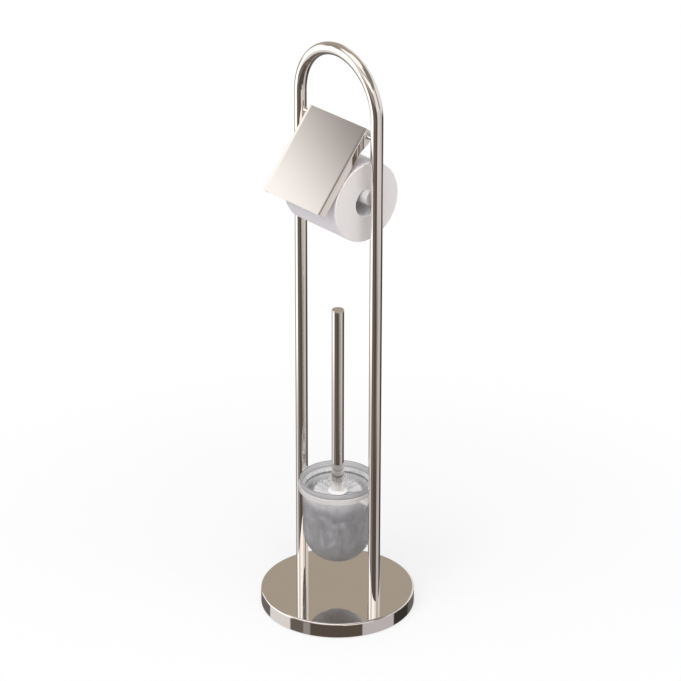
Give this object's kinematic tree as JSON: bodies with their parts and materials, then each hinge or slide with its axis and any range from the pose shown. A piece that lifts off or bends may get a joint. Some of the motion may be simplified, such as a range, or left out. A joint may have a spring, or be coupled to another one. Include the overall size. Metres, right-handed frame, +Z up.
{
  "type": "toilet butler",
  "caption": "Free-standing toilet butler: round weighted base, bent tube frame, hinged flap over a paper roll on a sprung spindle, and a brush in a glass cup.",
  "frame": {"origin": "centre of the base's underside, on the floor", "axes": "+X towards the right leg along the line of the two legs, -Y the side the flap faces, +Z up"},
  "size_m": [0.2032, 0.2032, 0.7855],
  "materials": {
    "polished_metal": "mirror polished warm nickel plating",
    "ring_coat": "satin pale warm coating",
    "flap_metal": "polished warm nickel plating on folded sheet",
    "cast_weight": "painted casting",
    "pad_rubber": "matt anti-slip pad",
    "plain_steel": "turned, bare",
    "dark_steel": "blackened",
    "spring_steel": "drawn wire",
    "bush_nylon": "moulded",
    "spindle_plastic": "moulded, light grey",
    "core_card": "plain grey-brown card",
    "roll_paper": "soft embossed tissue",
    "frosted_glass": "etched outside, smooth inside",
    "stem_plastic": "moulded, white",
    "bristle_nylon": "white filaments"
  },
  "bodies": {
    "stand": {"base_cover": "polished_metal", "base_weight": "cast_weight", "base_pad": "pad_rubber", "frame_tube": "polished_metal", "leg_plug_left": "plain_steel", "leg_plug_right": "plain_steel", "leg_screw_left": "dark_steel", "leg_screw_right": "dark_steel", "leg_washer_left": "plain_steel", "leg_washer_right": "plain_steel", "holder_ring": "ring_coat", "hinge_rod": "polished_metal", "rod_sleeve_left": "polished_metal", "rod_sleeve_right": "polished_metal", "spindle_outer": "spindle_plastic", "spindle_spring": "spring_steel"},
    "flap": {"paper_flap": "flap_metal", "hinge_bush_left": "bush_nylon", "hinge_bush_right": "bush_nylon"},
    "spindle_half": {"spindle_inner": "spindle_plastic"},
    "roll": {"roll_core": "core_card", "paper_roll": "roll_paper"},
    "cup": {"glass_cup": "frosted_glass"},
    "brush": {"handle_tube": "polished_metal", "handle_cap": "polished_metal", "handle_plug": "plain_steel", "head_stud": "plain_steel", "head_collar": "polished_metal", "head_stem": "stem_plastic", "bristles": "bristle_nylon"}
  },
  "joints": [
    {"name": "flap_hinge", "type": "hinge", "parent": "stand", "child": "flap", "pos_m": [0, 0, 0.6805], "axis": [-1, 0, 0], "range_deg": [0, 129]},
    {"name": "spindle_press", "type": "slide", "parent": "stand", "child": "spindle_half", "axis": [1, 0, 0], "range_m": [0, 0.008], "stiffness_N_per_m": 400, "springref_m": -0.02, "deforming": ["spindle_spring"]},
    {"name": "roll_spin", "type": "hinge", "parent": "stand", "child": "roll", "pos_m": [0.00515, 0, 0.59205], "axis": [1, 0, 0], "continuous": true},
    {"name": "cup_lift", "type": "slide", "parent": "stand", "child": "cup", "axis": [0, 0, 1], "range_m": [0, 0.02]},
    {"name": "brush_lift", "type": "slide", "parent": "cup", "child": "brush", "axis": [0, 0, 1], "range_m": [0, 0.092]}
  ]
}
